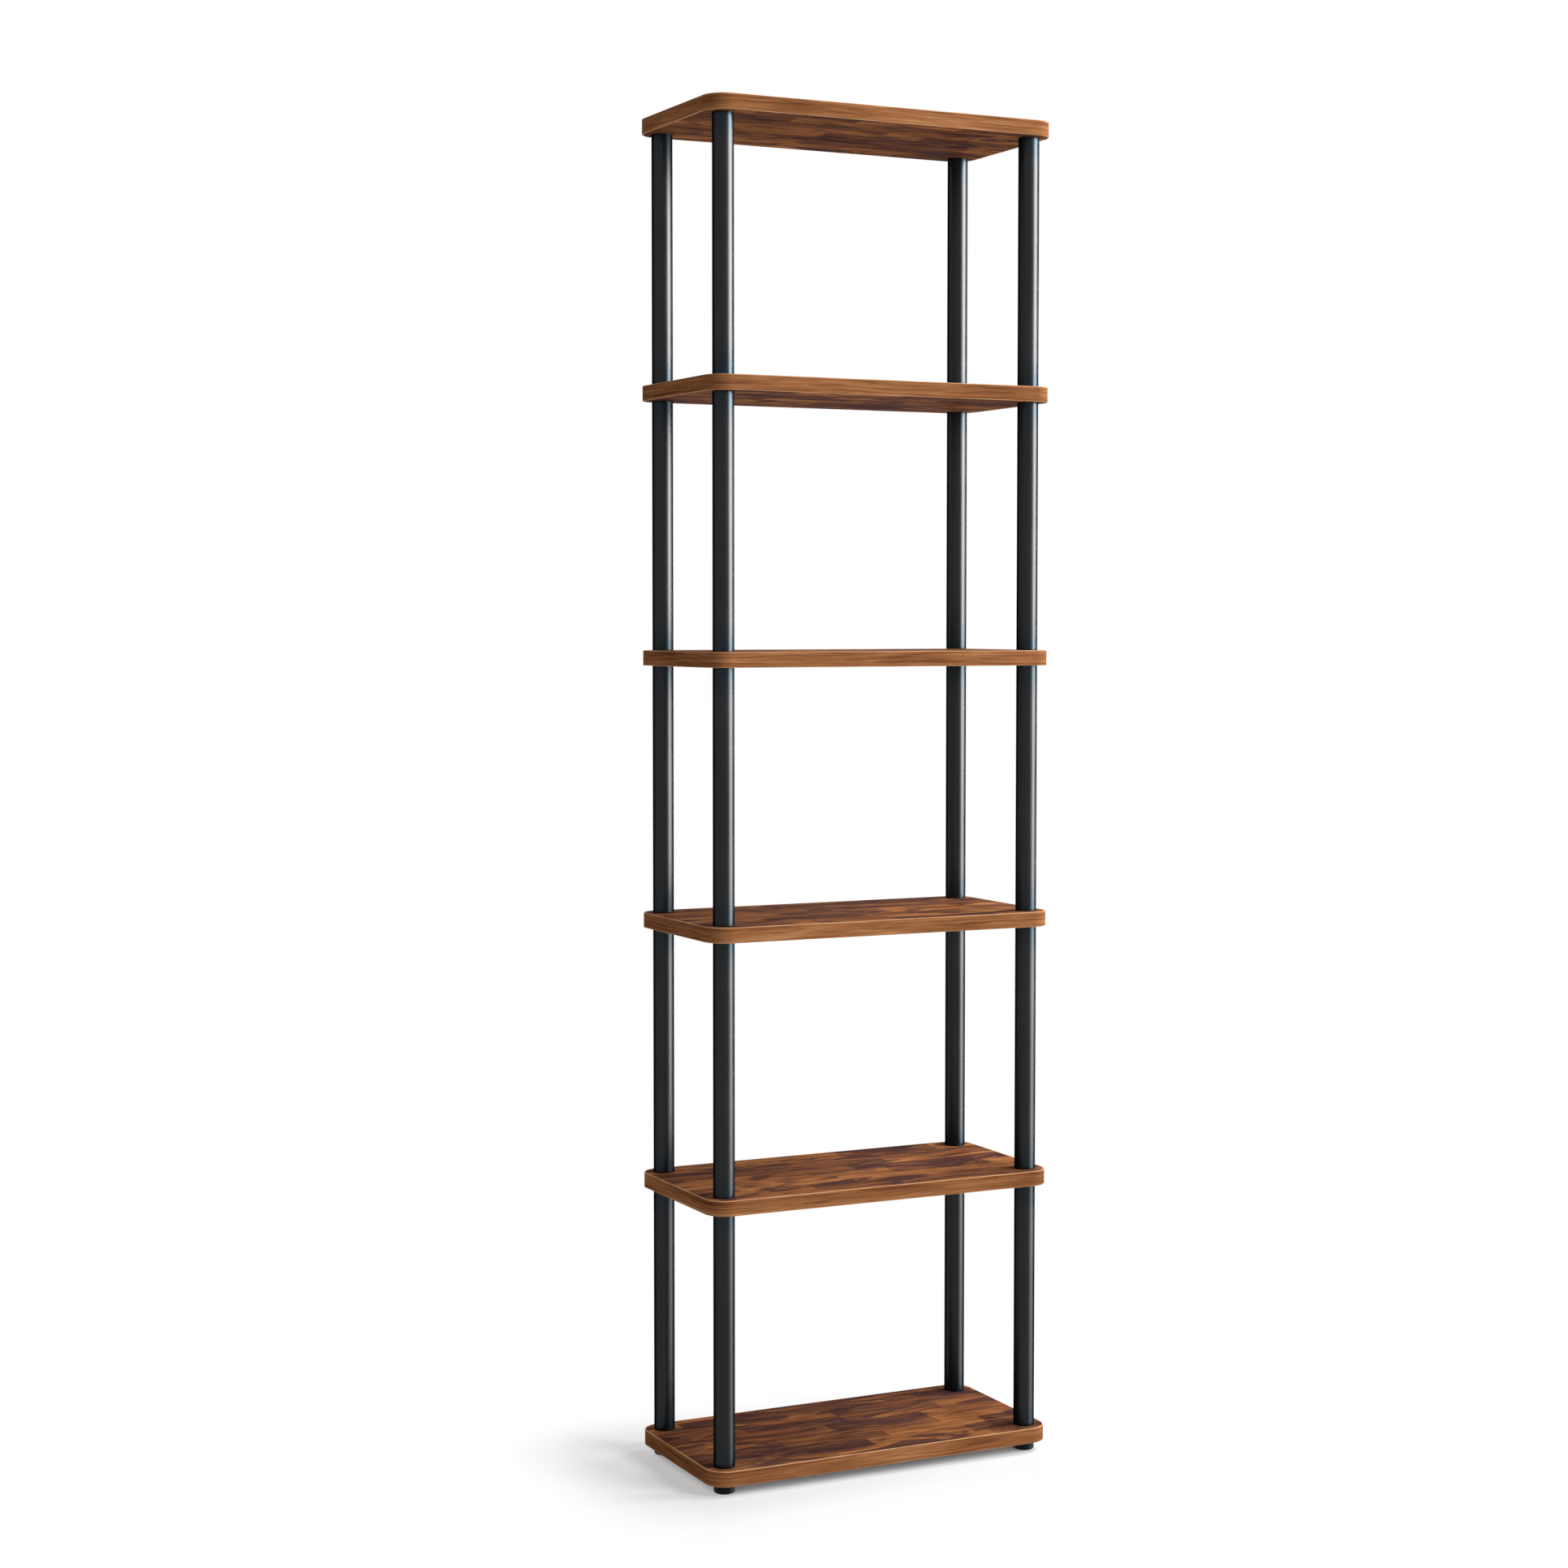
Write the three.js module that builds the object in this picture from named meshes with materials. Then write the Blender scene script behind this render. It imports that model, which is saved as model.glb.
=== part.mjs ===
// Tall narrow standing bookshelf: six rounded shelves held apart by tubes at their four corners.
// Every tube carries a screw stud at its lower end. The stud passes through the shelf below and
// screws into the next tube, or into a foot. Screw caps hold the top shelf down.
// Millimetres, +Z up. The origin is on the floor, under the middle of the shelves, front towards -Y.
import * as THREE from "three";

// Shelves
const shelfCount = 6;
const shelfWidth = 450;
const shelfDepth = 220;
const shelfThickness = 18;
const shelfCornerRadius = 25;

// Plastic band glued round each shelf's edge
const bandThickness = 1.5;
const bandArrisShare = 0.6;

// Tubes, one at each corner of every bay
const bayHeight = 296;
const tubeDiameter = 25;
const tubeWall = 1.2;
const tubeInset = 24;

// Threaded bush fixed in the top end of each tube
const bushLength = 14;

// Screw stud with the plug that carries it in the lower end of each tube
const studDiameter = 8;
const studGrip = 9;
const plugLength = 22;
const plugFit = 0.1;
const threadFit = 0.1;
const holeFit = 0.5;

// Feet, flush with the tubes
const footFloor = 2.5;
const footArris = 1.5;
const footBoreSpare = 0.5;

// Screw caps on the top shelf
const capRim = 1.2;
const capCrown = 1.3;

// How finely round shapes are cut
const roundSides = 24;
const studSides = 12;
const cornerSides = 6;
const crownSteps = 3;

// Sizes that follow from those above
const tubeRadius = tubeDiameter / 2;
const boreRadius = tubeRadius - tubeWall;
const studRadius = studDiameter / 2;
const threadedRadius = studRadius + threadFit;
const studTip = -shelfThickness - studGrip;
const footHeight = footFloor + footBoreSpare + studGrip;
const bandArris = bandArrisShare * bandThickness;
const shelfPitch = bayHeight + shelfThickness;
const bayCount = shelfCount - 1;
const postX = shelfWidth / 2 - tubeInset;
const postY = shelfDepth / 2 - tubeInset;

const posts = [
  { name: "front_left", x: -postX, y: -postY },
  { name: "front_right", x: postX, y: -postY },
  { name: "back_left", x: -postX, y: postY },
  { name: "back_right", x: postX, y: postY },
];

const laminateMaterial = new THREE.MeshStandardMaterial({ color: 0x6b4026, roughness: 0.45, metalness: 0 });
const bandMaterial = new THREE.MeshStandardMaterial({ color: 0x8a5730, roughness: 0.45, metalness: 0 });
const tubeMaterial = new THREE.MeshStandardMaterial({ color: 0x26282b, roughness: 0.35, metalness: 0.3 });
const plugMaterial = new THREE.MeshStandardMaterial({ color: 0x73767a, roughness: 0.5, metalness: 0.4 });
const footMaterial = new THREE.MeshStandardMaterial({ color: 0x161718, roughness: 0.5, metalness: 0 });

// The shelf's outline pulled in by inset, as points in order round it.
function shelfOutline(inset) {
  const radius = shelfCornerRadius - inset;
  const centreX = shelfWidth / 2 - shelfCornerRadius;
  const centreY = shelfDepth / 2 - shelfCornerRadius;
  const corners = [
    [centreX, -centreY],
    [centreX, centreY],
    [-centreX, centreY],
    [-centreX, -centreY],
  ];
  return corners.flatMap(([x, y], quarter) =>
    Array.from({ length: cornerSides + 1 }, (_, step) => {
      const angle = (Math.PI / 2) * (quarter - 1 + step / cornerSides);
      return new THREE.Vector2(x + radius * Math.cos(angle), y + radius * Math.sin(angle));
    }),
  );
}

function holePoints(x, y, radius) {
  return Array.from({ length: studSides }, (_, step) => {
    const angle = (2 * Math.PI * step) / studSides;
    return new THREE.Vector2(x + radius * Math.cos(angle), y + radius * Math.sin(angle));
  });
}

// A solid of revolution round Z from a profile of [radius, z] points.
function turned(profile, sides = roundSides) {
  const points = profile.map(([radius, z]) => new THREE.Vector2(radius, z));
  return new THREE.LatheGeometry(points, sides).rotateX(Math.PI / 2);
}

// A closed strip that follows the shelf's outline, from a profile of [inset, z] points.
function stripGeometry(profile) {
  const rings = profile.map(([inset, z]) => shelfOutline(inset).map((p) => [p.x, p.y, z]));
  const around = rings[0].length;
  const index = [];
  for (let ring = 0; ring < rings.length; ring++) {
    const nextRing = (ring + 1) % rings.length;
    for (let i = 0; i < around; i++) {
      const j = (i + 1) % around;
      const [a, b] = [ring * around + i, ring * around + j];
      const [c, d] = [nextRing * around + j, nextRing * around + i];
      index.push(a, b, c, a, c, d);
    }
  }
  const geometry = new THREE.BufferGeometry();
  geometry.setAttribute("position", new THREE.Float32BufferAttribute(rings.flat(2), 3));
  geometry.setIndex(index);
  geometry.computeVertexNormals();
  return geometry;
}

// Board inside the band, with a hole for the stud at each corner.
function shelfGeometry() {
  const shape = new THREE.Shape(shelfOutline(bandThickness));
  for (const post of posts) {
    shape.holes.push(new THREE.Path(holePoints(post.x, post.y, studRadius + holeFit)));
  }
  return new THREE.ExtrudeGeometry(shape, { depth: shelfThickness, bevelEnabled: false });
}

function bandGeometry() {
  return stripGeometry([
    [0, bandArris],
    [0, shelfThickness - bandArris],
    [bandArris, shelfThickness],
    [bandThickness, shelfThickness],
    [bandThickness, 0],
    [bandArris, 0],
  ]);
}

// Open at the bottom for the plug. The bush at the top has the thread for the stud above.
function tubeGeometry() {
  return turned([
    [boreRadius, 0],
    [tubeRadius, 0],
    [tubeRadius, bayHeight],
    [threadedRadius, bayHeight],
    [threadedRadius, bayHeight - bushLength],
    [boreRadius, bayHeight - bushLength],
    [boreRadius, 0],
  ]);
}

// Sits in the lower end of a tube, level with it. The stud points down.
function studPlugGeometry() {
  const plugRadius = boreRadius - plugFit;
  const profile = [
    [0, studTip],
    [studRadius, studTip],
    [studRadius, 0],
    [plugRadius, 0],
    [plugRadius, plugLength],
    [0, plugLength],
  ];
  return turned(profile, studSides);
}

function footGeometry() {
  return turned([
    [0, 0],
    [tubeRadius - footArris, 0],
    [tubeRadius, footArris],
    [tubeRadius, footHeight],
    [threadedRadius, footHeight],
    [threadedRadius, footFloor],
    [0, footFloor],
  ]);
}

// Low crowned head on the shelf's face, with a stud down into the tube's bush.
function capGeometry() {
  const crown = Array.from({ length: crownSteps }, (_, step) => {
    const angle = ((Math.PI / 2) * step) / crownSteps;
    return [tubeRadius * Math.cos(angle), capRim + capCrown * Math.sin(angle)];
  });
  return turned([
    [0, studTip],
    [studRadius, studTip],
    [studRadius, 0],
    [tubeRadius, 0],
    ...crown,
    [0, capRim + capCrown],
  ]);
}

function named(name, geometry, material, x, y, z) {
  const mesh = new THREE.Mesh(geometry, material);
  mesh.name = name;
  mesh.position.set(x, y, z);
  return mesh;
}

const bookshelf = new THREE.Group();

// Shelf 1 is the lowest.
for (let level = 1; level <= shelfCount; level++) {
  const z = footHeight + (level - 1) * shelfPitch;
  bookshelf.add(named(`shelf_${level}`, shelfGeometry(), laminateMaterial, 0, 0, z));
  bookshelf.add(named(`shelf_${level}_edge_band`, bandGeometry(), bandMaterial, 0, 0, z));
}

for (const { name, x, y } of posts) {
  const post = new THREE.Group();
  post.position.set(x, y, 0);
  post.add(named(`foot_${name}`, footGeometry(), footMaterial, 0, 0, 0));
  for (let bay = 1; bay <= bayCount; bay++) {
    const z = footHeight + shelfThickness + (bay - 1) * shelfPitch;
    post.add(named(`tube_${bay}_${name}`, tubeGeometry(), tubeMaterial, 0, 0, z));
    post.add(named(`stud_plug_${bay}_${name}`, studPlugGeometry(), plugMaterial, 0, 0, z));
  }
  const topFace = footHeight + bayCount * shelfPitch + shelfThickness;
  post.add(named(`top_cap_${name}`, capGeometry(), tubeMaterial, 0, 0, topFace));
  bookshelf.add(post);
}

export default bookshelf;
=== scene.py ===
"""Looks of the standing bookshelf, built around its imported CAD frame.

Metres, +Z up, front towards -Y. Every board, band, tube, foot and cap of the frame is replaced by
a finer mesh at the same place and size. The plugs inside the tubes keep their CAD mesh.
"""
import math

import bmesh
import bpy
from mathutils import Matrix, Vector
from mathutils.geometry import tessellate_polygon


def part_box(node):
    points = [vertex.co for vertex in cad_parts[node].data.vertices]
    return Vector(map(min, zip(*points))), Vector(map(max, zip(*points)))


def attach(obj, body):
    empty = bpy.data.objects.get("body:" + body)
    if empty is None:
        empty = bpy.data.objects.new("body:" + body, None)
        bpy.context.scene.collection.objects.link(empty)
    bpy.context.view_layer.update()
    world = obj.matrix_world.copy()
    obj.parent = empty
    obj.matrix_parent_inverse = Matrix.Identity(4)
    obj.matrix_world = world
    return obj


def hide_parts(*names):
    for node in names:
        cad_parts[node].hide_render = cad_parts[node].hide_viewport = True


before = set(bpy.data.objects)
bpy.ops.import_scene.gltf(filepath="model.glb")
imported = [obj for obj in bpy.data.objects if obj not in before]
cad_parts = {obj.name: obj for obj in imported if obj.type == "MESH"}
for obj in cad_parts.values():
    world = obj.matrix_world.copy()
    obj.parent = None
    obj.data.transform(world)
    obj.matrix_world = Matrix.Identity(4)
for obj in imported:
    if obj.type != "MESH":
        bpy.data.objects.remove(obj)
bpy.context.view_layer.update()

POSTS = ("front_left", "front_right", "back_left", "back_right")
LEVELS = range(1, 7)
BAYS = range(1, 6)
BODY = "root"

# Camera, fitted to the photograph
CAMERA_PLACE = Vector((-1.5728, -3.0486, 1.0094))
CAMERA_YAW = math.radians(26.059)
CAMERA_PITCH = math.radians(-2.834)
CAMERA_LENS = 65.619
CAMERA_SENSOR = 36
CAMERA_SHIFT = -0.015

# How finely round shapes are cut
TUBE_SIDES = 72
HOLE_SIDES = 32
CORNER_STEPS = 24
ARC_STEPS = 4
CROWN_STEPS = 12
SHARP_ANGLE = math.radians(35)

# Small roundings that the CAD model leaves out
BOARD_ARRIS = 0.00012
BAND_UPPER_ARRIS = 0.0009
BAND_LOWER_ARRIS = 0.0006
BAND_INNER_ARRIS = 0.0001
TUBE_END_ARRIS = 0.0007
TUBE_INNER_ARRIS = 0.0003
FOOT_LOWER_ARRIS = 0.002
FOOT_UPPER_ARRIS = 0.0006
CAP_LOWER_ARRIS = 0.0003
STUD_ARRIS = 0.0005

# Number of the first sheet that the bands are cut from
BAND_PRINT_START = 40

# Corner attribute that carries a surface's place on its print
PRINT_LAYER = "print"

# Range that most values of a noise lie in
NOISE_LOW = 0.3
NOISE_HIGH = 0.7

# Closer than this, two coordinates count as one
SNAP = 1e-5

# Lamps and world. Azimuth 0 is in front of the object and 90 on its right.
WORLD_FILL = (0.24, 0.21, 0.195)
AIM_HEIGHT = 0.8
SOFTBOX_DISTANCE = 4.5
SOFTBOX_SIZE = 2.0
SOFTBOXES = {
    "right_softbox": {"azimuth": 85, "elevation": 45, "radiance": 15, "in_gloss": True},
    "front_softbox": {"azimuth": 38, "elevation": 33, "radiance": 11, "in_gloss": True},
    "back_softbox": {"azimuth": 160, "elevation": 10, "radiance": 6, "in_gloss": False},
}

# Column of light for the light line down each tube, with its radiance by height
GLOSS_AZIMUTH = 60
GLOSS_DISTANCE = 3.0
GLOSS_LOW = -1.1
GLOSS_HIGH = 2.9
GLOSS_BRIGHT_HALF = 0.45
GLOSS_HALF = 1.65
GLOSS_FULL = 50
GLOSS_RADIANCE = ((-1.1, 4), (-0.5, 8), (0.0, 17), (0.6, 28), (1.2, 39), (1.7, 46), (2.9, 46))

# Floor, as diffuse rays find it and as the camera sees it in the object's shadow
FLOOR_HALF = 6.0
FLOOR_DROP = 0.0004
FLOOR_PALE = 0.7
FLOOR_SEEN = (0.50, 0.52, 0.54, 1)

# Glow of the shadowed floor by openness, a painted contact shadow, and the distances over which it turns
# white
OPEN_REACH = 0.2
PAINTED_SHADOW_GLOW = ((0.0, 0.03), (0.05, 0.18), (0.12, 0.37), (0.25, 0.46), (1.0, 0.39))
SHADOW_START = 0.02
SHADOW_END = 0.17


def srgb(red, green, blue):
    """A colour of 0 to 255 as Blender's linear RGBA."""
    def linear(value):
        share = value / 255
        return share / 12.92 if share <= 0.04045 else ((share + 0.055) / 1.055) ** 2.4
    return (linear(red), linear(green), linear(blue), 1.0)


def grey(value):
    """A grey of this linear value as RGBA."""
    return (value, value, value, 1)


# Camera

def make_camera():
    camera = bpy.data.objects.new("camera", bpy.data.cameras.new("camera"))
    bpy.context.scene.collection.objects.link(camera)
    camera.location = CAMERA_PLACE
    camera.rotation_mode = "QUATERNION"
    look = Vector((
        math.sin(CAMERA_YAW) * math.cos(CAMERA_PITCH),
        math.cos(CAMERA_YAW) * math.cos(CAMERA_PITCH),
        math.sin(CAMERA_PITCH),
    ))
    camera.rotation_quaternion = look.to_track_quat("-Z", "Y")
    camera.data.sensor_width = CAMERA_SENSOR
    camera.data.lens = CAMERA_LENS
    camera.data.shift_y = CAMERA_SHIFT
    bpy.context.scene.camera = camera


# Node helpers

def connect(tree, made, inputs):
    """Inputs that are sockets are linked to the node, others are set on it."""
    for key, value in inputs.items():
        if isinstance(value, bpy.types.NodeSocket):
            tree.links.new(value, made.inputs[key])
        else:
            made.inputs[key].default_value = value


def node(tree, kind, inputs=None, **settings):
    """A new shader node with these inputs and settings."""
    made = tree.nodes.new("ShaderNode" + kind)
    for key, value in settings.items():
        setattr(made, key, value)
    connect(tree, made, inputs or {})
    return made


def calc(tree, operation, *values, clamp=False):
    """Result of a Math node."""
    return node(tree, "Math", dict(enumerate(values)), operation=operation, use_clamp=clamp).outputs[0]


def vector_calc(tree, operation, *values):
    """Result of a Vector Math node that gives a vector."""
    return node(tree, "VectorMath", dict(enumerate(values)), operation=operation).outputs[0]


def noise(tree, vector, detail=3.0, roughness=0.55, distortion=0.0, scale=1.0):
    """Value of a Noise Texture, about 0.5 on average."""
    return node(tree, "TexNoise", {
        "Vector": vector, "Scale": scale, "Detail": detail, "Roughness": roughness,
        "Distortion": distortion,
    }).outputs["Fac"]


def grain(tree, place, along, across, **settings):
    """Noise with so many features per metre along the grain and across it, new on each sheet."""
    sheet_step = 4.37
    return noise(tree, vector_calc(tree, "MULTIPLY", place, (along, across, sheet_step)), **settings)


def remap(tree, value, low, high, to_low=0.0, to_high=1.0, kind="LINEAR"):
    """The value taken from one range to another, clamped."""
    return node(tree, "MapRange", {
        "Value": value, "From Min": low, "From Max": high, "To Min": to_low, "To Max": to_high,
    }, interpolation_type=kind).outputs[0]


def over_noise(tree, value, to_low, to_high):
    """A noise taken from the range that most of it lies in to another range."""
    return remap(tree, value, NOISE_LOW, NOISE_HIGH, to_low, to_high)


def ramp(tree, value, stops):
    """Colour of a ramp of (position, colour) stops."""
    made = node(tree, "ValToRGB", {0: value})
    elements = made.color_ramp.elements
    while len(elements) < len(stops):
        elements.new(0.5)
    for element, (position, colour) in zip(elements, stops):
        element.position = position
        element.color = colour
    return made.outputs[0]


def blend(tree, factor, first, second, kind="MIX"):
    """First colour mixed with the second by factor. The numbers are the node's colour sockets."""
    return node(tree, "Mix", {0: factor, 6: first, 7: second}, data_type="RGBA",
                blend_type=kind).outputs[2]


def shade(tree, colour, factor):
    """The colour multiplied by a value."""
    even = node(tree, "CombineColor", {0: factor, 1: factor, 2: factor}).outputs[0]
    return blend(tree, 1.0, colour, even, kind="MULTIPLY")


def bump(tree, height, distance):
    """Normal of a surface whose height of 1 is this distance."""
    return node(tree, "Bump", {"Height": height, "Distance": distance}).outputs[0]


def weighted_sum(tree, layers):
    """Sum of noise layers (value, weight), each stretched to fill 0 to 1 first."""
    total = 0.0
    for value, weight in layers:
        total = calc(tree, "MULTIPLY_ADD", remap(tree, value, 0.25, 0.75), weight, total)
    return total


def random_value(tree, x, y, z):
    """Random value of a cell, from 0 to 1."""
    cell = node(tree, "CombineXYZ", {"X": x, "Y": y, "Z": z}).outputs[0]
    return node(tree, "TexWhiteNoise", {"Vector": cell}, noise_dimensions="3D").outputs["Value"]


def print_place(tree):
    """Place on the print."""
    return node(tree, "Attribute", attribute_name=PRINT_LAYER).outputs["Vector"]


def wandering_place(tree, along, across, reach):
    """Place on the print, with grain lines that wander up to reach to each side."""
    place = print_place(tree)
    drift = calc(tree, "SUBTRACT", grain(tree, place, along, across, detail=2), 0.5)
    wander = node(tree, "CombineXYZ", {"Y": calc(tree, "MULTIPLY", drift, 2 * reach)}).outputs[0]
    return vector_calc(tree, "ADD", place, wander)


def new_material(name):
    """A material with its node tree and its Principled shader."""
    material = bpy.data.materials.new(name)
    material.use_nodes = True
    tree = material.node_tree
    return material, tree, tree.nodes["Principled BSDF"]


# Materials

def laminate_material():
    """Rustic brown wood print: short staves of different brown, dark smudges and fine grain."""
    material, tree, shader = new_material("rustic_laminate")
    place = wandering_place(tree, along=7, across=11, reach=0.008)
    split = node(tree, "SeparateXYZ", {0: place}).outputs

    # Staves: rows across the board, cut at random along it, each with its own tone
    rows_per_metre, staves_per_metre, row_start, row_shift = 38.0, 7.5, 50.37, 9.0
    row = calc(tree, "FLOOR", calc(tree, "MULTIPLY_ADD", split["Y"], rows_per_metre, row_start))
    shift = calc(tree, "MULTIPLY", random_value(tree, 0.0, row, split["Z"]), row_shift)
    stave = calc(tree, "FLOOR", calc(tree, "MULTIPLY_ADD", split["X"], staves_per_metre, shift))
    stave_tone = random_value(tree, stave, row, split["Z"])

    patches = grain(tree, place, 8, 38, detail=4, roughness=0.62, distortion=0.8)
    bands = grain(tree, place, 9, 150, detail=4, roughness=0.65)
    lines = grain(tree, place, 14, 420, detail=3, roughness=0.6)
    pores = grain(tree, place, 32, 900, detail=3, roughness=0.7)
    smudges = grain(tree, place, 9, 36, detail=4, roughness=0.56, distortion=1.2)

    tone = calc(tree, "MULTIPLY", stave_tone, 0.34)
    tone = calc(tree, "ADD", tone, weighted_sum(tree, [(patches, 0.42), (bands, 0.26), (lines, 0.12)]))
    colour = ramp(tree, tone, [
        (0.24, srgb(56, 38, 43)), (0.42, srgb(97, 62, 50)), (0.57, srgb(139, 89, 57)),
        (0.72, srgb(177, 116, 69)), (0.92, srgb(204, 146, 95)),
    ])
    darkness = remap(tree, smudges, 0.48, 0.61, 0.0, 0.84, kind="SMOOTHSTEP")
    colour = blend(tree, darkness, colour, srgb(66, 46, 49))
    colour = shade(tree, colour, remap(tree, pores, 0.30, 0.62, 0.72, 1.04))
    connect(tree, shader, {
        "Base Color": colour,
        "Roughness": over_noise(tree, bands, 0.54, 0.46),
        "Specular IOR Level": 0.0006,
        "Normal": bump(tree, pores, 0.00006),
    })
    return material


def band_material():
    """Orange-brown print of the edge band, streaked along the edge."""
    material, tree, shader = new_material("edge_band_print")
    place = wandering_place(tree, along=10, across=30, reach=0.003)
    tones = grain(tree, place, 5, 60, detail=3, roughness=0.6)
    streaks = grain(tree, place, 11, 420, detail=4, roughness=0.65)
    lines = grain(tree, place, 13, 620, detail=3, roughness=0.6)
    pores = grain(tree, place, 40, 1900, detail=2, roughness=0.6)
    tone = weighted_sum(tree, [(tones, 0.40), (streaks, 0.46), (pores, 0.14)])
    colour = ramp(tree, tone, [
        (0.16, srgb(92, 54, 34)), (0.36, srgb(134, 86, 54)), (0.56, srgb(166, 112, 72)),
        (0.84, srgb(204, 152, 106)),
    ])
    colour = shade(tree, colour, remap(tree, lines, 0.32, 0.50, 0.66, 1.0, kind="SMOOTHSTEP"))
    connect(tree, shader, {
        "Base Color": colour,
        "Roughness": over_noise(tree, streaks, 0.54, 0.46),
        "Specular IOR Level": 0.002,
        "Normal": bump(tree, streaks, 0.00005),
    })
    return material


def band_core_and_highlight_material():
    """Tan plastic at the band's trimmed arrises: its core colour, lightened as a painted highlight."""
    material, tree, shader = new_material("edge_band_core_and_highlight")
    scrape = grain(tree, print_place(tree), 25, 900, detail=3)
    connect(tree, shader, {
        "Base Color": ramp(tree, scrape, [(0.3, srgb(182, 127, 84)), (0.7, srgb(220, 172, 127))]),
        "Roughness": over_noise(tree, scrape, 0.45, 0.55),
        "Specular IOR Level": 0.05,
        "Normal": bump(tree, scrape, 0.00003),
    })
    return material


def paint_material(name, middle, ends, roughness):
    """Satin powder coat with fine orange peel, bluer at a tube's ends and darker there as painted shade.
    """
    material, tree, shader = new_material(name)
    place = node(tree, "TexCoord").outputs["Object"]
    peel = noise(tree, place, scale=420, detail=1)
    cloud = noise(tree, place, scale=14, detail=2)
    # Towards each end the colour turns bluer, a tint, and darker, a painted shade where the tube meets a
    # shelf
    heights = node(tree, "SeparateXYZ", {0: print_place(tree)}).outputs
    from_end = calc(tree, "MINIMUM", heights["Y"], heights["Z"])
    end_length = 0.045
    past_end_tint_and_shade = remap(tree, from_end, 0.0, end_length, kind="SMOOTHSTEP")
    colour = blend(tree, past_end_tint_and_shade, srgb(*ends), srgb(*middle))
    connect(tree, shader, {
        "Base Color": shade(tree, colour, over_noise(tree, cloud, 0.95, 1.07)),
        "Metallic": 1.0,
        "Specular Tint": (0.05, 0.05, 0.05, 1),
        "Roughness": over_noise(tree, cloud, roughness, roughness + 0.03),
        "Normal": bump(tree, peel, 0.0000012),
    })
    return material


def foot_material():
    """Black moulded plastic with a fine eroded grain."""
    material, tree, shader = new_material("foot_plastic_black")
    place = node(tree, "TexCoord").outputs["Object"]
    pits = noise(tree, place, scale=1500, detail=3)
    flattened = vector_calc(tree, "MULTIPLY", place, (1, 1, 6))
    scuff = remap(tree, noise(tree, flattened, scale=60, detail=4), 0.45, 0.75)
    connect(tree, shader, {
        "Base Color": blend(tree, scuff, srgb(24, 29, 30), srgb(36, 41, 43)),
        "Roughness": over_noise(tree, pits, 0.42, 0.55),
        "Specular IOR Level": 0.05,
        "Normal": bump(tree, pits, 0.00003),
    })
    return material


def plug_material():
    """Grey moulded plug with its zinc-plated stud, which is the narrow part below it."""
    material, tree, shader = new_material("plug_and_stud")
    place = node(tree, "TexCoord").outputs["Object"]
    pits = noise(tree, place, scale=900, detail=3)
    spangle = remap(tree, noise(tree, place, scale=260, detail=2), 0.35, 0.65)
    connect(tree, shader, {
        "Base Color": blend(tree, spangle, srgb(118, 120, 123), srgb(142, 144, 147)),
        "Metallic": 0.4,
        "Roughness": over_noise(tree, pits, 0.42, 0.58),
        "Normal": bump(tree, pits, 0.00002),
    })
    return material


# Shapes

def rounded(profile):
    """Points of a closed profile whose corners (a, b, radius) become arcs of their radius."""
    points = []
    for i, (a, b, radius) in enumerate(profile):
        corner = Vector((a, b))
        if not radius:
            points.append(corner)
            continue
        back = (Vector(profile[i - 1][:2]) - corner).normalized()
        ahead = (Vector(profile[(i + 1) % len(profile)][:2]) - corner).normalized()
        half = back.angle(ahead) / 2
        middle = corner + (back + ahead).normalized() * (radius / math.sin(half))
        start = corner + back * (radius / math.tan(half)) - middle
        end = corner + ahead * (radius / math.tan(half)) - middle
        sweep = start.angle(end)
        for step in range(ARC_STEPS + 1):
            share = step / ARC_STEPS
            points.append(middle + (
                math.sin((1 - share) * sweep) * start + math.sin(share * sweep) * end
            ) / math.sin(sweep))
    return points


def ring(centre, radius, sides):
    """Points (x, y) of a circle."""
    angles = [2 * math.pi * i / sides for i in range(sides)]
    return [(centre[0] + radius * math.cos(a), centre[1] + radius * math.sin(a)) for a in angles]


def turned(profile, centre):
    """Vertices and faces of a closed body of revolution, from a closed profile of (radius, z)."""
    vertices, rings, faces = [], [], []
    for radius, z in profile:
        if radius < SNAP:
            rings.append([len(vertices)] * TUBE_SIDES)
            vertices.append((*centre, z))
        else:
            rings.append(range(len(vertices), len(vertices) + TUBE_SIDES))
            vertices += [(x, y, z) for x, y in ring(centre, radius, TUBE_SIDES)]
    for first, second in zip(rings, rings[1:] + rings[:1]):
        for i in range(TUBE_SIDES):
            j = (i + 1) % TUBE_SIDES
            face = list(dict.fromkeys((first[i], first[j], second[j], second[i])))
            if len(face) > 2:
                faces.append(face)
    return vertices, faces


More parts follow.
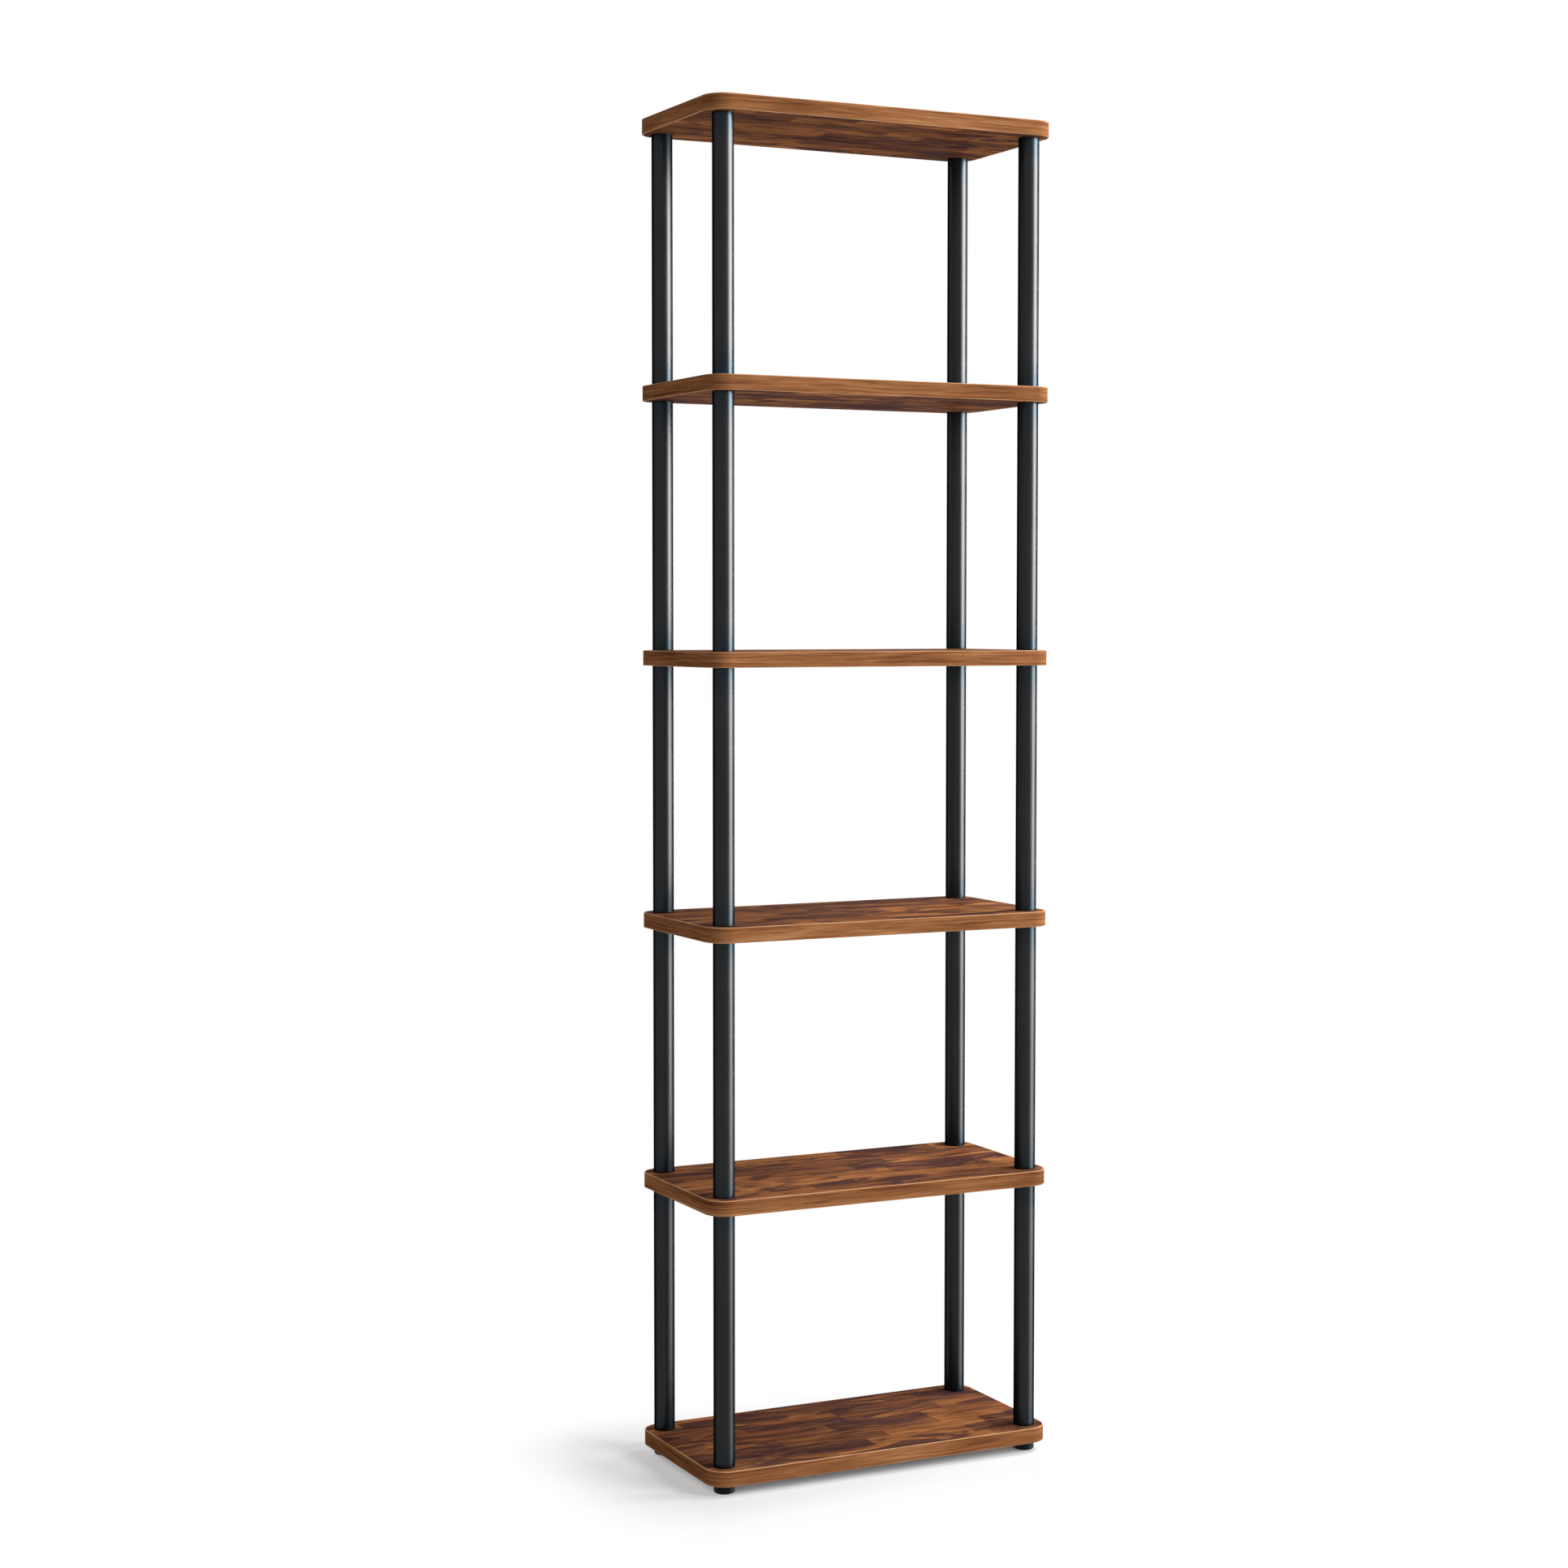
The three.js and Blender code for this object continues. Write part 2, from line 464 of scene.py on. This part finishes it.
class Shelf:
    """A shelf's outline, read from the CAD nodes of its board and band."""

    def __init__(self, level):
        self.board_node = f"shelf_{level}"
        self.band_node = f"shelf_{level}_edge_band"
        low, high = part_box(self.band_node)
        board_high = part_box(self.board_node)[1]
        self.low, self.high = low.z, high.z
        self.half = Vector((high.x, high.y))
        self.band = high.x - board_high.x
        front = [v.co.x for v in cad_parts[self.band_node].data.vertices
                 if abs(v.co.y - low.y) < SNAP]
        self.radius = high.x - max(front)

    def outline(self, inset):
        """Points (x, y) round the shelf pulled in by inset. It starts and ends behind, in the middle."""
        radius = self.radius - inset
        cx, cy = self.half.x - self.radius, self.half.y - self.radius
        points = [(0.0, self.half.y - inset)]
        for quarter, (sx, sy) in enumerate(((-1, 1), (-1, -1), (1, -1), (1, 1))):
            for step in range(CORNER_STEPS + 1):
                angle = math.pi / 2 * (1 + quarter + step / CORNER_STEPS)
                points.append((sx * cx + radius * math.cos(angle), sy * cy + radius * math.sin(angle)))
        return points

    def lengths(self):
        """Length along the band's face up to each outline point, and the whole length last."""
        points = self.outline(0)
        total = [0.0]
        for a, b in zip(points, points[1:] + points[:1]):
            total.append(total[-1] + math.dist(a, b))
        return total

    def hole_radius(self, centre):
        """Radius of the board's hole for the stud at a post."""
        return min(math.dist(v.co.xy, centre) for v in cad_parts[self.board_node].data.vertices)


def board_mesh(shelf, centres, sheet):
    """Board with a stud hole at each post. Its print is (x, y, number of the sheet)."""
    arris_steps = [
        (BOARD_ARRIS, shelf.high), (0.0, shelf.high - BOARD_ARRIS),
        (0.0, shelf.low + BOARD_ARRIS), (BOARD_ARRIS, shelf.low),
    ]
    vertices, faces, levels = [], [], []
    for inset, z in arris_steps:
        loops = [shelf.outline(shelf.band + inset)]
        loops += [ring(c, shelf.hole_radius(c) + inset, HOLE_SIDES) for c in centres]
        level = []
        for points in loops:
            level.append(range(len(vertices), len(vertices) + len(points)))
            vertices += [(x, y, z) for x, y in points]
        levels.append(level)
    for upper, lower in zip(levels, levels[1:]):
        for top, bottom in zip(upper, lower):
            for i in range(len(top)):
                j = (i + 1) % len(top)
                faces.append([top[i], top[j], bottom[j], bottom[i]])
    for level in (levels[0], levels[-1]):
        order = [i for loop in level for i in loop]
        flat = [[Vector(vertices[i]) for i in loop] for loop in level]
        faces += [[order[i] for i in triangle] for triangle in tessellate_polygon(flat)]
    middle = (shelf.low + shelf.high) / 2

    def printed(face):
        below = sum(vertices[i][2] for i in face) / len(face) < middle
        return [(vertices[i][0], vertices[i][1], sheet + below) for i in face]
    return vertices, faces, [printed(face) for face in faces]


def band_mesh(shelf, sheet):
    """Band round the board, seam at the back. Its print is (length along it, height, number)."""
    profile = rounded([
        (0, shelf.low, BAND_LOWER_ARRIS), (0, shelf.high, BAND_UPPER_ARRIS),
        (shelf.band, shelf.high, BAND_INNER_ARRIS), (shelf.band, shelf.low, BAND_INNER_ARRIS),
    ])
    lengths = shelf.lengths()
    around = len(lengths) - 1
    vertices, faces, prints, printed_faces = [], [], [], []
    for inset, z in profile:
        vertices += [(x, y, z) for x, y in shelf.outline(inset)]
    for step in range(len(profile)):
        after = (step + 1) % len(profile)
        # Only the outer face is printed. Arrises and inner faces take the tan core, lightened as painted
        # highlight
        outer = profile[step].x < SNAP and profile[after].x < SNAP
        heights = (profile[step].y, profile[after].y)
        for i in range(around):
            j = (i + 1) % around
            faces.append([step * around + i, step * around + j, after * around + j, after * around + i])
            prints.append([
                (lengths[i], heights[0], sheet), (lengths[i + 1], heights[0], sheet),
                (lengths[i + 1], heights[1], sheet), (lengths[i], heights[1], sheet),
            ])
            printed_faces.append(outer)
    return vertices, faces, prints, printed_faces


def axis_of(node_name):
    """Place (x, y) of a round node's axis."""
    low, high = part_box(node_name)
    return ((low.x + high.x) / 2, (low.y + high.y) / 2)


def levels_of(node_name):
    """Heights at which the node has vertices, lowest first."""
    return sorted({round(v.co.z, 5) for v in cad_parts[node_name].data.vertices})


def radii_at(node_name, z):
    """Radii round the node's axis at which it has vertices at height z, smallest first."""
    centre = axis_of(node_name)
    return sorted({
        round(math.dist(v.co.xy, centre), 5)
        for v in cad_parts[node_name].data.vertices if abs(v.co.z - z) < SNAP
    })


def from_ends(vertices, faces, low, high):
    """The print of a tube: at each corner (0, height above its lower end, depth below its upper end)."""
    return [[(0.0, vertices[i][2] - low, high - vertices[i][2]) for i in face] for face in faces]


def tube_mesh(node_name):
    """Hollow tube with its threaded bush in the upper end, and with softened ends."""
    low, bush, high = levels_of(node_name)
    bore, outer = radii_at(node_name, low)
    thread = radii_at(node_name, high)[0]
    profile = rounded([
        (bore, low, TUBE_INNER_ARRIS), (outer, low, TUBE_END_ARRIS), (outer, high, TUBE_END_ARRIS),
        (thread, high, TUBE_INNER_ARRIS), (thread, bush, TUBE_INNER_ARRIS), (bore, bush, 0),
    ])
    vertices, faces = turned(profile, axis_of(node_name))
    return vertices, faces, from_ends(vertices, faces, low, high)


def foot_mesh(node_name):
    """Round foot with a blind bore for the stud above."""
    low, _, floor, high = levels_of(node_name)
    thread, outer = radii_at(node_name, high)
    profile = rounded([
        (0, low, 0), (outer, low, FOOT_LOWER_ARRIS), (outer, high, FOOT_UPPER_ARRIS),
        (thread, high, TUBE_INNER_ARRIS), (thread, floor, 0), (0, floor, 0),
    ])
    return turned(profile, axis_of(node_name))


def cap_mesh(node_name):
    """Low crowned cap on the top shelf, with its stud down into the tube."""
    levels = levels_of(node_name)
    tip, face, rim, top = levels[0], levels[1], levels[2], levels[-1]
    stud, outer = radii_at(node_name, face)
    profile = rounded([
        (0, tip, 0), (stud, tip, STUD_ARRIS), (stud, face, 0), (outer, face, CAP_LOWER_ARRIS),
        (outer, rim, 0),
    ])
    for step in range(1, CROWN_STEPS + 1):
        angle = math.pi / 2 * step / CROWN_STEPS
        profile.append(Vector((outer * math.cos(angle), rim + (top - rim) * math.sin(angle))))
    return turned(profile, axis_of(node_name))


# Pieces

def piece(node_name, slot, materials, vertices, faces, prints=None, printed_faces=None):
    """A closed mesh that stands for one CAD node and rides on the object's one body."""
    shape = bmesh.new()
    made = [shape.verts.new(v) for v in vertices]
    layer = shape.loops.layers.float_vector.new(PRINT_LAYER)
    for number, face in enumerate(faces):
        built = shape.faces.new([made[i] for i in face])
        built.smooth = True
        if prints:
            for loop, value in zip(built.loops, prints[number]):
                loop[layer] = Vector(value)
        if printed_faces:
            built.material_index = 0 if printed_faces[number] else 1
    bmesh.ops.recalc_face_normals(shape, faces=shape.faces)
    mesh = bpy.data.meshes.new(node_name + "_surface")
    shape.to_mesh(mesh)
    shape.free()
    for material in materials:
        mesh.materials.append(material)
    mesh.set_sharp_from_angle(angle=SHARP_ANGLE)
    thing = bpy.data.objects.new(node_name + "_surface", mesh)
    bpy.context.scene.collection.objects.link(thing)
    weighted = thing.modifiers.new("face_area_normals", "WEIGHTED_NORMAL")
    weighted.keep_sharp = True
    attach(thing, BODY)
    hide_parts(node_name)
    return thing


def make_shelves():
    laminate = laminate_material()
    band_print = band_material()
    band_core_and_highlight = band_core_and_highlight_material()
    centres = [axis_of(f"tube_1_{post}") for post in POSTS]
    for level in LEVELS:
        shelf = Shelf(level)
        board = board_mesh(shelf, centres, 2 * level)
        piece(shelf.board_node, "shelf_laminate", [laminate], *board)
        band = band_mesh(shelf, BAND_PRINT_START + level)
        piece(shelf.band_node, "edge_band", [band_print, band_core_and_highlight], *band)


def make_posts():
    """Tubes, feet, caps and plugs. Gives the collection of those that show the column of light."""
    shining = bpy.data.collections.new("posts")
    # Ends colour: a bluer tint, and darker as painted shade where each tube meets a shelf
    tube_paint = paint_material("tube_powder_coat", (41, 41, 42), (33, 38, 41), 0.30)
    cap_paint = paint_material("cap_powder_coat", (39, 40, 41), (39, 40, 41), 0.36)
    foot_plastic = foot_material()
    plug_finish = plug_material()
    for post in POSTS:
        foot = f"foot_{post}"
        shining.objects.link(piece(foot, "foot_plastic", [foot_plastic], *foot_mesh(foot)))
        cap = f"top_cap_{post}"
        shining.objects.link(piece(cap, "cap_paint", [cap_paint], *cap_mesh(cap)))
        for bay in BAYS:
            tube = f"tube_{bay}_{post}"
            shining.objects.link(piece(tube, "tube_paint", [tube_paint], *tube_mesh(tube)))
            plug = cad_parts[f"stud_plug_{bay}_{post}"]
            plug.data.materials.clear()
            plug.data.materials.append(plug_finish)
    return shining


# Floor, world and lamps

def background_rays(tree):
    """1 for the rays that show the background: camera, glossy and transmission rays."""
    path = node(tree, "LightPath").outputs
    seen = calc(tree, "ADD", path["Is Camera Ray"], path["Is Glossy Ray"], clamp=True)
    return calc(tree, "ADD", seen, path["Is Transmission Ray"], clamp=True)


def make_world():
    world = bpy.data.worlds.new("studio")
    world.use_nodes = True
    tree = world.node_tree
    fill = blend(tree, background_rays(tree), (*WORLD_FILL, 1), grey(1))
    connect(tree, tree.nodes["Background"], {"Color": fill, "Strength": 1.0})
    bpy.context.scene.world = world


def distance_beyond(tree, position, half):
    """Distance from the object's footprint on the floor."""
    mirrored = vector_calc(tree, "ABSOLUTE", position)
    outside = vector_calc(tree, "SUBTRACT", mirrored, (half.x, half.y, 1.0))
    clipped = vector_calc(tree, "MAXIMUM", outside, (0, 0, 0))
    return node(tree, "VectorMath", {0: clipped}, operation="LENGTH").outputs["Value"]


def glow(tree, strength):
    """White emission of this strength."""
    return node(tree, "Emission", {"Color": grey(1), "Strength": strength}).outputs[0]


def floor_material(half_footprint):
    """Pale to diffuse rays, and white to the camera apart from the shadow round the object.

    Glossy rays and the view from below pass through it. Its glow is lower in closed places: painted
    shadow.
    """
    material = bpy.data.materials.new("pale_floor")
    material.use_nodes = True
    tree = material.node_tree
    tree.nodes.clear()
    pale = node(tree, "BsdfDiffuse", {"Color": grey(FLOOR_PALE)}).outputs[0]
    # Glow by openness: a painted contact shadow round the object, added to the real diffuse shading
    openness = node(tree, "AmbientOcclusion", {"Distance": OPEN_REACH}, samples=16).outputs["AO"]
    painted_shadow_glow = ramp(tree, openness, [(share, grey(value)) for share, value in PAINTED_SHADOW_GLOW])
    lit = node(tree, "BsdfDiffuse", {"Color": FLOOR_SEEN}).outputs[0]
    shadowed = node(tree, "AddShader", {0: lit, 1: glow(tree, painted_shadow_glow)}).outputs[0]
    geometry = node(tree, "NewGeometry").outputs
    distance = distance_beyond(tree, geometry["Position"], half_footprint)
    far = remap(tree, distance, SHADOW_START, SHADOW_END, kind="SMOOTHSTEP")
    seen = node(tree, "MixShader", {0: far, 1: shadowed, 2: glow(tree, 1.0)}).outputs[0]
    upper = node(tree, "MixShader", {0: background_rays(tree), 1: pale, 2: seen}).outputs[0]
    glossy = node(tree, "LightPath").outputs["Is Glossy Ray"]
    hidden = calc(tree, "MAXIMUM", geometry["Backfacing"], glossy)
    clear = node(tree, "BsdfTransparent").outputs[0]
    both = node(tree, "MixShader", {0: hidden, 1: upper, 2: clear}).outputs[0]
    node(tree, "OutputMaterial", {"Surface": both})
    return material


def make_floor(half_footprint):
    mesh = bpy.data.meshes.new("floor")
    corners = ((-1, -1), (1, -1), (1, 1), (-1, 1))
    mesh.from_pydata([(x * FLOOR_HALF, y * FLOOR_HALF, -FLOOR_DROP) for x, y in corners],
                     [], [(0, 1, 2, 3)])
    floor = bpy.data.objects.new("floor", mesh)
    bpy.context.scene.collection.objects.link(floor)
    mesh.materials.append(floor_material(half_footprint))


def toward(azimuth, elevation):
    """Direction away from the object."""
    a, e = math.radians(azimuth), math.radians(elevation)
    return Vector((math.sin(a) * math.cos(e), -math.cos(a) * math.cos(e), math.sin(e)))


def area_lamp(name, place, facing, lengthwise, width, length, radiance):
    """Soft rectangular lamp that the camera doesn't see."""
    lamp = bpy.data.objects.new(name, bpy.data.lights.new(name, "AREA"))
    bpy.context.scene.collection.objects.link(lamp)
    lamp.data.shape = "RECTANGLE"
    lamp.data.size = width
    lamp.data.size_y = length
    lamp.data.energy = radiance * math.pi * width * length
    lamp.location = place
    across = facing.cross(lengthwise).normalized()
    turn = Matrix((across, across.cross(facing), -facing)).transposed()
    lamp.rotation_mode = "QUATERNION"
    lamp.rotation_quaternion = turn.to_quaternion()
    lamp.visible_camera = False
    return lamp


def shape_column(lamp, across):
    """Gives the column of light its radiance by height and its soft sides.

    The ramp holds the radiance at each height as a share of GLOSS_FULL. The column goes on below
    the floor, because the lower tubes mirror what is there.
    """
    lamp.use_nodes = True
    tree = lamp.node_tree
    place = node(tree, "NewGeometry").outputs["Position"]
    height = remap(tree, node(tree, "SeparateXYZ", {0: place}).outputs["Z"], GLOSS_LOW, GLOSS_HIGH)
    by_height = ramp(tree, height, [
        ((z - GLOSS_LOW) / (GLOSS_HIGH - GLOSS_LOW), grey(radiance / GLOSS_FULL))
        for z, radiance in GLOSS_RADIANCE
    ])
    aside = node(tree, "VectorMath", {0: place, 1: across}, operation="DOT_PRODUCT").outputs["Value"]
    fade = remap(tree, calc(tree, "ABSOLUTE", aside), GLOSS_BRIGHT_HALF, GLOSS_HALF, GLOSS_FULL, 0,
                 kind="SMOOTHSTEP")
    connect(tree, tree.nodes["Emission"], {"Color": by_height, "Strength": fade})


def make_lamps(shining):
    """Three softboxes, and the column of light, which lights only the posts."""
    up = Vector((0, 0, 1))
    for name, settings in SOFTBOXES.items():
        away = toward(settings["azimuth"], settings["elevation"])
        place = AIM_HEIGHT * up + away * SOFTBOX_DISTANCE
        softbox = area_lamp(name, place, -away, up, SOFTBOX_SIZE, SOFTBOX_SIZE, settings["radiance"])
        softbox.visible_glossy = settings["in_gloss"]

    away = toward(GLOSS_AZIMUTH, 0)
    place = away * GLOSS_DISTANCE + up * (GLOSS_LOW + GLOSS_HIGH) / 2
    column = area_lamp("gloss_column", place, -away, up, 2 * GLOSS_HALF, GLOSS_HIGH - GLOSS_LOW, 1)
    column.visible_diffuse = False
    column.light_linking.receiver_collection = shining
    shape_column(column.data, away.cross(up))


make_camera()
make_shelves()
posts = make_posts()
make_world()
make_floor(Shelf(1).half)
make_lamps(posts)
bpy.context.scene.view_settings.view_transform = "Standard"
